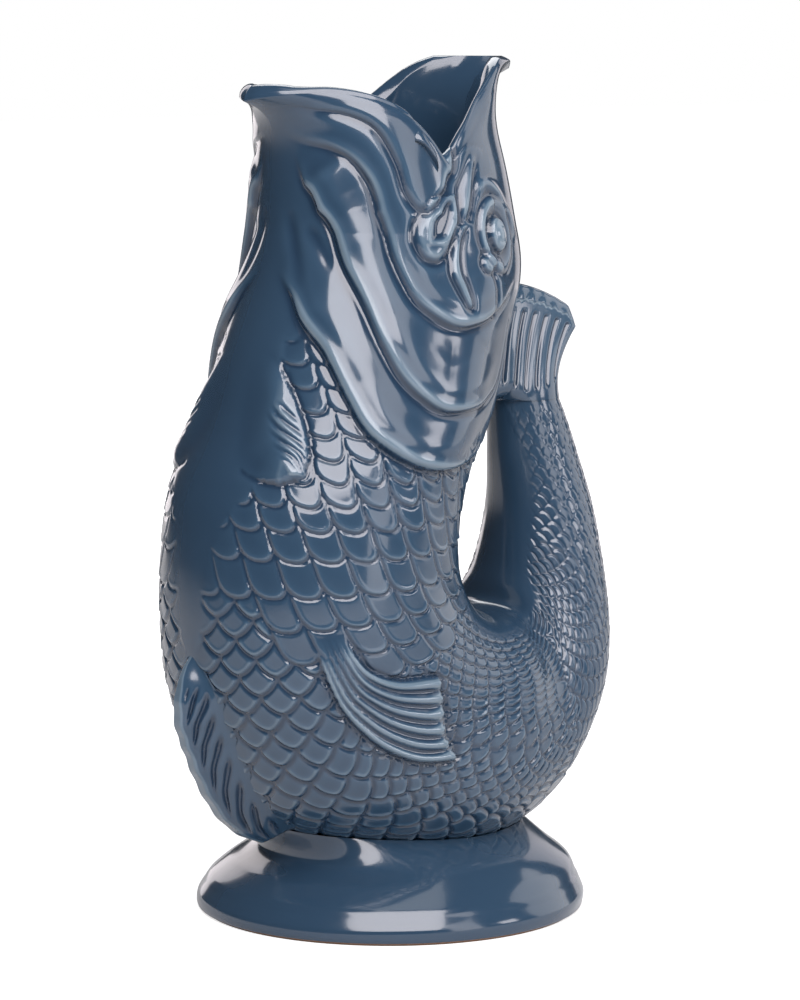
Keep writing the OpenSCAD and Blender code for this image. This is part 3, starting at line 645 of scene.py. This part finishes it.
def grid_piece(name, mask, nodes):
    """The faces of the skin grid where mask is true, as one glazed piece."""
    row, col = np.nonzero(mask)
    next_col = (col + 1) % COLS
    ids = np.stack([row * COLS + col, (row + 1) * COLS + col, (row + 1) * COLS + next_col,
                    row * COLS + next_col], 1)
    used, local = np.unique(ids, return_inverse=True)
    local = local.reshape(ids.shape)
    u = np.stack([col, col, col + 1, col + 1], 1).astype(float)
    v = np.stack([row, row + 1, row + 1, row], 1).astype(float)
    u = (u - u.min()) / max(u.max() - u.min(), 1)
    v = (v - v.min()) / max(v.max() - v.min(), 1)
    add_mesh(name, GRID.reshape(-1, 3)[used], local, nodes, GLAZE,
             np.stack([u, v], -1) * 0.98 + 0.01, GRID_NORMAL.reshape(-1, 3)[used], grid_relief.ravel()[used])


def node_tree(name):
    """A new material with its node tree and its main shader."""
    m = bpy.data.materials.new(name)
    m.use_nodes = True
    tree = m.node_tree
    tree.nodes.clear()
    out = tree.nodes.new("ShaderNodeOutputMaterial")
    principled = tree.nodes.new("ShaderNodeBsdfPrincipled")
    tree.links.new(principled.outputs["BSDF"], out.inputs["Surface"])
    return m, tree, principled


def glaze_material():
    """A glossy glaze, paler where the relief stands high and darker in the grooves."""
    m, tree, principled = node_tree("blue_glaze")
    nodes, links = tree.nodes, tree.links
    att = nodes.new("ShaderNodeAttribute")
    att.attribute_name = "relief"
    spread = nodes.new("ShaderNodeMapRange")
    spread.inputs["From Min"].default_value = -0.55
    spread.inputs["From Max"].default_value = 0.55
    links.new(att.outputs["Fac"], spread.inputs["Value"])
    coord = nodes.new("ShaderNodeTexCoord")
    cloud = nodes.new("ShaderNodeTexNoise")
    cloud.inputs["Scale"].default_value = 18
    cloud.inputs["Detail"].default_value = 3
    links.new(coord.outputs["Object"], cloud.inputs["Vector"])
    mix = nodes.new("ShaderNodeMath")
    mix.operation = "MULTIPLY_ADD"
    links.new(cloud.outputs["Fac"], mix.inputs[0])
    mix.inputs[1].default_value = 0.16
    links.new(spread.outputs["Result"], mix.inputs[2])
    ramp = nodes.new("ShaderNodeValToRGB")
    elements = ramp.color_ramp.elements
    elements[0].position = 0.12
    elements[0].color = (0.014, 0.032, 0.062, 1)
    elements[1].position = 0.98
    elements[1].color = (0.135, 0.195, 0.25, 1)
    for place, color in ((0.36, (0.015, 0.035, 0.068, 1)), (0.56, (0.024, 0.053, 0.094, 1)),
                         (0.76, (0.038, 0.078, 0.129, 1))):
        elements.new(place).color = color
    links.new(mix.outputs[0], ramp.inputs["Fac"])
    links.new(ramp.outputs["Color"], principled.inputs["Base Color"])
    speck = nodes.new("ShaderNodeTexNoise")
    speck.inputs["Scale"].default_value = 260
    speck.inputs["Detail"].default_value = 2
    links.new(coord.outputs["Object"], speck.inputs["Vector"])
    rough = nodes.new("ShaderNodeMapRange")
    rough.inputs["To Min"].default_value = 0.10
    rough.inputs["To Max"].default_value = 0.20
    links.new(speck.outputs["Fac"], rough.inputs["Value"])
    links.new(rough.outputs["Result"], principled.inputs["Roughness"])
    principled.inputs["IOR"].default_value = 1.55
    principled.inputs["Coat Weight"].default_value = 0.5
    principled.inputs["Coat Roughness"].default_value = 0.06
    wave = nodes.new("ShaderNodeTexNoise")
    wave.inputs["Scale"].default_value = 55
    links.new(coord.outputs["Object"], wave.inputs["Vector"])
    bump = nodes.new("ShaderNodeBump")
    bump.inputs["Strength"].default_value = 0.15
    bump.inputs["Distance"].default_value = 0.0012
    links.new(wave.outputs["Fac"], bump.inputs["Height"])
    links.new(bump.outputs["Normal"], principled.inputs["Normal"])
    return m


def clay_material():
    m, tree, principled = node_tree("bare_clay")
    nodes, links = tree.nodes, tree.links
    coord = nodes.new("ShaderNodeTexCoord")
    grain = nodes.new("ShaderNodeTexNoise")
    grain.inputs["Scale"].default_value = 900
    grain.inputs["Detail"].default_value = 5
    links.new(coord.outputs["Object"], grain.inputs["Vector"])
    ramp = nodes.new("ShaderNodeValToRGB")
    ramp.color_ramp.elements[0].color = (0.22, 0.11, 0.06, 1)
    ramp.color_ramp.elements[1].color = (0.40, 0.24, 0.15, 1)
    links.new(grain.outputs["Fac"], ramp.inputs["Fac"])
    links.new(ramp.outputs["Color"], principled.inputs["Base Color"])
    principled.inputs["Roughness"].default_value = 0.85
    bump = nodes.new("ShaderNodeBump")
    bump.inputs["Strength"].default_value = 0.4
    bump.inputs["Distance"].default_value = 0.0003
    links.new(grain.outputs["Fac"], bump.inputs["Height"])
    links.new(bump.outputs["Normal"], principled.inputs["Normal"])
    return m


GLAZE, CLAY = glaze_material(), clay_material()

# Pieces of the skin
face_t = (grid_t[:-1] + grid_t[1:])[:, None] / 2 + np.zeros((1, COLS))
face_label = grid_label[:-1]
names = {GILL: "gill_cover", SNOUT: "snout_fold", EYE: "eye", PECTORAL: "pectoral_fin", PELVIC: "pelvic_fin"}
for k, name in names.items():
    grid_piece(name + "_left_glazed", face_label == k, [name + "_left"])
    grid_piece(name + "_right_glazed", face_label == -k, [name + "_right"])
plain = face_label == 0
lip_end, head_end, body_end = 1 / 3, 4, 11
grid_piece("mouth_lip_glazed", plain & (face_t < lip_end), ["mouth_lip"])
grid_piece("head_shell_glazed", plain & (face_t >= lip_end) & (face_t < head_end), ["head_shell"])
grid_piece("body_shell_glazed", plain & (face_t >= head_end) & (face_t < body_end), ["body_shell"])
grid_piece("tail_handle_glazed", plain & (face_t >= body_end), ["tail_handle"])


def sheet_places(m, n, closed):
    i, j = np.meshgrid(np.arange(m - 1), np.arange(n if closed else n - 1), indexing="ij")
    return i.ravel(), j.ravel()


def sheet_faces(m, n, closed=False):
    """Quads of a grid of m rows and n columns, closed into a ring or left open."""
    i, j = sheet_places(m, n, closed)
    k = (j + 1) % n
    return np.stack([i * n + j, (i + 1) * n + j, (i + 1) * n + k, i * n + k], 1)


def sheet_uv(m, n, closed=False):
    i, j = [places.astype(float) for places in sheet_places(m, n, closed)]
    d = n if closed else n - 1
    corners = [(j / d, i / (m - 1)), (j / d, (i + 1) / (m - 1)), ((j + 1) / d, (i + 1) / (m - 1)),
               ((j + 1) / d, i / (m - 1))]
    return np.stack([np.stack(corner, 1) for corner in corners], 1)


# Midline fins: wedges that stand on the skin, with long swept hollows between the rays
def midline_fin(node, t0, t1, out, w, shape, slots, cut):
    rows, cols, sunk = 320, 129, 0.7
    s = np.linspace(0, 1, rows)[:, None]
    r = np.linspace(-1, 1, cols)[None, :]
    t = t0 + (t1 - t0) * s + 0 * r
    flank = np.minimum(1, (1 - np.abs(r)) / 0.88) ** 1.7
    tall = out * curve(shape, s * (len(shape) - 1))[..., 0] * (1 + 0.025 * np.cos(2 * np.pi * slots * s))
    wide = w * (0.3 + 0.7 * smooth(s / 0.3))
    side_share = np.minimum(np.abs(r) * wide / 2 / curve(RINGS, t - 1)[..., 4], 0.9)
    angle = np.degrees(np.arcsin(side_share)) * np.sign(r)
    base = skin(t, angle % 360) - outward(t, angle % 360) * sunk
    bulge = np.sin(np.pi * np.clip(flank, 0, 1)) * 0.12
    ends = smooth(s / 0.07) * smooth((1 - s) / 0.05)
    stand = ends * (tall + sunk) * (flank + bulge * (flank < 1))
    p = base + outward(t, 0 * angle) * stand[..., None]
    phase = (s - 0.34 * flank) * slots
    slot = bell((phase % 1 - 0.5) / 0.21) * smooth((flank - 0.10) / 0.16) * smooth((0.82 - flank) / 0.14)
    slot = slot * smooth((s - 0.16) / 0.06) * smooth((0.97 - s) / 0.08)
    p = p - open_normals(p) * (slot * cut)[..., None]
    tone = -0.9 * slot + 0.3 * smooth((flank - 0.84) / 0.1) + 0.08
    add_mesh(node + "_glazed", p.reshape(-1, 3), sheet_faces(rows, cols), [node], GLAZE,
             sheet_uv(rows, cols), open_normals(p).reshape(-1, 3), tone.ravel())


# its rim bulges, so the belly fin is built 1.1 mm lower than its solid
midline_fin("belly_fin", 7.3, 9.16, belly_fin_out - 1.1, belly_fin_w, [.02, .6, .97, .98, .94, .88, .7],
            9, 1.05)
midline_fin("rear_fin", 11.06, 11.78, rear_fin_out, rear_fin_w, [.8, 1, .85, .5, .15], 5, 0.4)

# Tail fin: it fans out above the tail and leans on the back of the head
ROOT, BELOW = RINGS[-1], RINGS[-2]
fin_root = np.array([.62, .8, .95, 1, .97, .86, .6, .03]) * ROOT[4]
back_t = np.linspace(1, TAIL_TOP, 1501)
back_z = skin(back_t, 180.0)[:, 2]
lowest = int(np.argmin(back_z))


def head_back(z):
    """The t of the back of the head at a height z."""
    return np.interp(z, back_z[:lowest][::-1], back_t[:lowest][::-1])


# u runs out from the head to the free edge, and v runs up
NU, NV = 240, 150
u = np.linspace(0, 1, NU)[None, :]
v = np.linspace(0, 1, NV)[:, None]
oval = ROOT[4] * np.sqrt(np.clip(1 - ((u - 0.665) / 0.335) ** 2, 0, 1))
into_tail = smooth((u - 0.42) / 0.2)
rooted = oval * into_tail + curve(fin_root, u * 7)[..., 0] * (1 - into_tail)
fanned = tail_fin_t / 2 * (0.35 + 0.65 * smooth((1 - u) / 0.06))
near = 0.5 * (1 - v) ** 2 + 0.5 * (1 - smooth(v / 0.85))
thick = rooted * near + fanned * (1 - near)
thick = thick * np.sqrt(np.clip(1 - (v ** 14), 0.0, 1)) - 0.15 * smooth((0.1 - v) / 0.1) + 0.1
thick = thick * (1 - smooth((v - 0.02) / 0.3) * (1 - np.sqrt(np.clip(1 - (u ** 30), 0.0, 1))))
# the web over the finger gap and the fin's lower edge are rounded off into the tail
round_off = np.sqrt(np.clip(1 - (1 - np.minimum(v / 0.2, 1)) ** 2, 0.0, 1))
thick = np.where(v < 0.2, oval + (thick - oval) * round_off, thick)
# long hollows between the rays, a crackled line above them that carries a painted highlight, and short
# curved rays against the head's back
ray_u = np.clip((u - 0.17) / 0.74, 0, 1)
groove = 6 * ray_u + 0.5
lines = bell((groove - np.round(groove)) / 0.15)
arc = 0.06 + 0.2 * (2 * u - 1.1) ** 2
long_rays = smooth((v - arc) / 0.07) * smooth((0.80 - v) / 0.05)
long_rays = long_rays * smooth((u - 0.16) / 0.03) * smooth((0.93 - u) / 0.03)
short = smooth((0.2 - np.cos(2 * np.pi * (v + 0.8 * u * (0.4 + v)) * 9)) / 1.0)
near_head = smooth((0.205 - u) / 0.04) * smooth((0.80 - v) / 0.06)
wavy_v = v - 0.86 - 0.008 * np.sin(40 * u) - 0.006 * np.sin(97 * u)
crackle_highlight = bell(wavy_v / 0.008) * smooth((0.95 - u) / 0.04)
rim_waves = 0.12 * smooth((v - 0.86) / 0.03) * (1 - np.cos(2 * np.pi * 6 * ray_u))
rim_waves = rim_waves * smooth((0.93 - u) / 0.05)
cut = 0.8 * long_rays * lines + 0.8 * near_head * short + 0.3 * crackle_highlight + rim_waves
# its outline runs from the back of the head to a free edge that flares, with a rounded corner
far_z = ROOT[1] + tail_fin_h * v * (1 - 0.36 * u * u * v)
head_x = skin(head_back(far_z), 180.0)[..., 0]
flare = 0.35 * np.sin(np.pi / 2 * v) + 0.65 * v ** 1.8
lean_in = (ROOT[2] - BELOW[2]) / (ROOT[3] - BELOW[3]) * tail_fin_h
free_x = ROOT[2] + (head_x + tail_fin_w - ROOT[2]) * flare + lean_in * v * (1 - v) ** 4
root_head_x = skin(head_back(ROOT[1]), 180.0)[0]
web = np.clip(1 - u * (ROOT[2] - root_head_x) / (ROOT[0] - root_head_x), 0, None)
z = far_z - fin_web_h * web ** 2 * (1 - v) ** 2
near_x = skin(head_back(z), 180.0)[..., 0] - 1.5
x = near_x + (free_x - near_x) * u
corner = smooth((u - 0.78) / 0.22) * smooth((v - 0.72) / 0.28)
x = x - 2.8 * corner
z = z - 3.2 * corner
y = thick - cut * smooth(thick / 2)
left_side = np.stack([x, -y, z], -1)
fin_normal = unit(np.cross(np.gradient(left_side, axis=1), np.gradient(left_side, axis=0))).reshape(-1, 3)
# tone of the fin: paler away from its base, darker in the hollows, and a painted highlight along the
# crackled line
tone = 0.22 * smooth(v / 0.3) - 0.6 * (long_rays * lines + near_head * short * 0.6) + 0.4 * crackle_highlight
faces = sheet_faces(NV, NU)
verts = left_side.reshape(-1, 3)
# its two sides are joined along the top and along the free edge
top_row = (NV - 1) * NU + np.arange(NU)
free_col = np.arange(NV - 1, -1, -1) * NU + NU - 1
seam = []
for line in (top_row, free_col):
    a, b = line[:-1], line[1:]
    seam.append(np.stack([a, b, b + len(verts), a + len(verts)], 1))
left_uv = sheet_uv(NV, NU) * [.48, .98] + [.01, .01]
seam_uv = np.full((sum(len(s) for s in seam), 4, 2), 0.995)
add_mesh("tail_fin_glazed", np.concatenate([verts, verts * FLIP]),
         np.concatenate([faces[:, ::-1], faces + len(verts)] + seam), ["tail_fin"], GLAZE,
         np.concatenate([left_uv[:, ::-1], left_uv + [.49, 0], seam_uv]),
         np.concatenate([fin_normal, fin_normal * FLIP]), np.tile(tone.ravel(), 2))


# Foot and waist: rings that lean from the foot's centre to the body's
def lathe(name, rings, node, material):
    g = np.array(rings)
    m, n = g.shape[:2]
    add_mesh(name, g.reshape(-1, 3), sheet_faces(m, n, True), node, material,
             sheet_uv(m, n, True) * 0.98 + 0.01, closed_normals(g).reshape(-1, 3))


AROUND = 256
turn = np.linspace(0, 2 * np.pi, AROUND, endpoint=False)


def level(r, z, lean=0.0):
    return np.stack([lean + r * np.cos(turn), r * np.sin(turn), z + 0 * turn], -1)


def foot_r(share):
    """A radius between the waist's, at 0, and the foot's, at 1, a hair inside the solid."""
    return waist_d / 2 + (foot_d - 0.1 - waist_d) / 2 * share


dome_h = foot_h - ring_h
foot_top, foot_lean = foot_r(.8), 1.2
middle_r, middle_z = (waist_d / 2 + foot_top) / 2 + 2.2, belly_z - waist_h * 0.2
profile = [
    (foot_r(.945), ring_h * .4), (foot_r(.975), ring_h * .5), (foot_r(.993), ring_h),
    (foot_r(1), ring_h + dome_h * .22), (foot_r(.98), ring_h + dome_h * .39),
    (foot_r(.9), ring_h + dome_h * .68), (foot_top, foot_h), (middle_r, middle_z)]
hollow_r = foot_d / 2 - ring_w
foot_rings = []
for a in np.linspace(np.pi / 2, 0.02, 24)[::-1]:
    foot_rings.append(level(hollow_r * math.sin(a), ring_h + (hollow_h - ring_h) * math.cos(a)))
for r in np.linspace(hollow_r, foot_r(.966), 6)[1:-1]:
    foot_rings.append(level(r, ring_h))
for r, z in curve(profile, np.linspace(0, 6, 90)):
    foot_rings.append(level(r, z, foot_lean * max(z - ring_h, 0) / dome_h))
lathe("foot_glazed", foot_rings[::-1], ["foot"], GLAZE)
under_belly = skin(10.1 + 0.95 * np.cos(turn), (-180 * 0.24 * np.sin(turn)) % 360)
waist = level(waist_d / 2 + 1.5, belly_z + waist_h * 0.7, waist_lean)
middle = level(middle_r, middle_z, waist_lean * 0.8)
base = level(foot_top, foot_h, foot_lean)
stack = np.stack([under_belly, waist, middle, base, level(*profile[5], foot_lean * .75)])
skirt = curve(stack.reshape(5, -1), np.linspace(0, 3, 70)).reshape(70, AROUND, 3)
lathe("waist_collar_glazed", skirt, ["waist_collar"], GLAZE)
clay_profile = [
    (hollow_r, ring_h), (hollow_r - ring_h / 2, ring_h / 2), (hollow_r - ring_h / 2, 0.0),
    (foot_d / 2 - ring_h, 0.0), (foot_d / 2 - ring_h * .7, ring_h * .22),
    (foot_d / 2 - ring_h / 2, ring_h / 2), (foot_r(.966), ring_h)]
clay_rings = [level(r, z) for r, z in clay_profile]
lathe("foot_ring_clay", clay_rings[::-1], ["foot_ring"], CLAY)


# Floor: pale, and seen as white further away
def floor_material():
    m, tree, principled = node_tree("floor")
    nodes, links = tree.nodes, tree.links
    coord = nodes.new("ShaderNodeTexCoord")
    grain = nodes.new("ShaderNodeTexNoise")
    grain.inputs["Scale"].default_value = 3
    links.new(coord.outputs["Object"], grain.inputs["Vector"])
    ramp = nodes.new("ShaderNodeValToRGB")
    ramp.color_ramp.elements[0].color = (0.70, 0.70, 0.70, 1)
    ramp.color_ramp.elements[1].color = (0.74, 0.74, 0.74, 1)
    links.new(grain.outputs["Fac"], ramp.inputs["Fac"])
    links.new(ramp.outputs["Color"], principled.inputs["Base Color"])
    principled.inputs["Roughness"].default_value = 0.9
    path = nodes.new("ShaderNodeLightPath")
    glow = nodes.new("ShaderNodeEmission")
    away = nodes.new("ShaderNodeVectorMath")
    away.operation = "LENGTH"
    links.new(coord.outputs["Object"], away.inputs[0])
    fade = nodes.new("ShaderNodeMapRange")
    fade.inputs["From Min"].default_value = 0.12
    fade.inputs["From Max"].default_value = 0.6
    fade.inputs["To Min"].default_value = 0.8
    fade.inputs["To Max"].default_value = 1.05
    links.new(away.outputs["Value"], fade.inputs["Value"])
    links.new(fade.outputs["Result"], glow.inputs["Strength"])
    both = nodes.new("ShaderNodeAddShader")
    pick = nodes.new("ShaderNodeMixShader")
    links.new(principled.outputs["BSDF"], both.inputs[0])
    links.new(glow.outputs["Emission"], both.inputs[1])
    links.new(path.outputs["Is Camera Ray"], pick.inputs["Fac"])
    links.new(principled.outputs["BSDF"], pick.inputs[1])
    links.new(both.outputs["Shader"], pick.inputs[2])
    links.new(pick.outputs["Shader"], nodes["Material Output"].inputs["Surface"])
    return m


floor_half = 6.0
floor_corners = [(x * floor_half, y * floor_half, 0) for x, y in ((-1, -1), (1, -1), (1, 1), (-1, 1))]
floor_mesh = bpy.data.meshes.new("floor")
floor_mesh.from_pydata(floor_corners, [], [(0, 1, 2, 3)])
floor_mesh.materials.append(floor_material())
floor = bpy.data.objects.new("floor", floor_mesh)
bpy.context.scene.collection.objects.link(floor)

# Camera, solved from the photograph
azimuth, elevation, camera_distance = math.radians(-37), math.radians(7.0), 1200 * MM
to_camera = Vector((math.sin(azimuth) * math.cos(elevation), -math.cos(azimuth) * math.cos(elevation),
                    math.sin(elevation)))
right = Vector((math.cos(azimuth), math.sin(azimuth), 0))
image_up = to_camera.cross(right)
target = Vector((0, 0, 125 * MM))
camera_place = target + to_camera * camera_distance
aim = target + right * 3.08 * MM - image_up * 4.26 * MM
focal_pixels, photo_pixels, sensor = 4085, 1000, 36
camera_data = bpy.data.cameras.new("camera")
camera_data.sensor_fit = "AUTO"
camera_data.sensor_width = sensor
camera_data.lens = focal_pixels / photo_pixels * sensor
camera = bpy.data.objects.new("camera", camera_data)
camera.location = camera_place
camera.rotation_euler = (aim - camera_place).to_track_quat("-Z", "Y").to_euler()
bpy.context.scene.collection.objects.link(camera)
bpy.context.scene.camera = camera


# Lights, all turned to the middle of the jug
LIGHT_BASE, LIGHT_AIM = 0.12, Vector((0, 0, 0.13))


def around(az, el, dist):
    """A place at an azimuth seen from the front of the camera: 0 is behind the camera, 90 to its right."""
    a = math.radians(az)
    h = dist * math.cos(math.radians(el))
    flat_back = Vector((to_camera.x, to_camera.y, 0)).normalized()
    up = Vector((0, 0, LIGHT_BASE + dist * math.sin(math.radians(el))))
    return flat_back * (h * math.cos(a)) + right * (h * math.sin(a)) + up


def softbox(name, place, size, power, color=(1, 1, 1)):
    d = bpy.data.lights.new(name, "AREA")
    d.shape = "RECTANGLE"
    d.size, d.size_y = size
    d.energy = power
    d.color = color
    o = bpy.data.objects.new(name, d)
    o.location = place
    o.rotation_euler = (LIGHT_AIM - place).to_track_quat("-Z", "Y").to_euler()
    bpy.context.scene.collection.objects.link(o)


softbox("key", around(4, 42, 1.3), (1.2, 0.95), 23, (1, 0.95, 0.965))
softbox("fill_right", around(45, 16, 1.5), (0.5, 1.3), 4.5, (1, 0.965, 0.975))
softbox("side", around(112, 14, 1.6), (1.0, 1.6), 7, (1, 0.975, 0.98))
softbox("top", around(20, 80, 1.2), (0.7, 0.6), 1.8)
softbox("rim_left", around(-156, 10, 1.5), (0.45, 1.3), 3, (1, 0.93, 0.945))
softbox("rim_right", around(152, 10, 1.5), (0.45, 1.3), 1.8, (1, 0.93, 0.945))
softbox("back", around(180, 45, 1.6), (1.0, 0.8), 8)
softbox("fin", around(74, 14, 1.5), (0.3, 0.4), 2.0, (1, 0.95, 0.965))

# World: white where the camera looks, and a faint sky on the jug
world = bpy.data.worlds.new("studio")
bpy.context.scene.world = world
world.use_nodes = True
tree = world.node_tree
tree.nodes.clear()
out = tree.nodes.new("ShaderNodeOutputWorld")
seen = tree.nodes.new("ShaderNodeBackground")
seen.inputs["Color"].default_value = (1, 1, 1, 1)
seen.inputs["Strength"].default_value = 1.0
lit = tree.nodes.new("ShaderNodeBackground")
lit.inputs["Color"].default_value = (0.80, 0.86, 0.95, 1)
lit.inputs["Strength"].default_value = 0.06
path = tree.nodes.new("ShaderNodeLightPath")
mixer = tree.nodes.new("ShaderNodeMixShader")
tree.links.new(path.outputs["Is Camera Ray"], mixer.inputs["Fac"])
tree.links.new(lit.outputs["Background"], mixer.inputs[1])
tree.links.new(seen.outputs["Background"], mixer.inputs[2])
tree.links.new(mixer.outputs["Shader"], out.inputs["Surface"])
bpy.context.scene.view_settings.view_transform = "Standard"
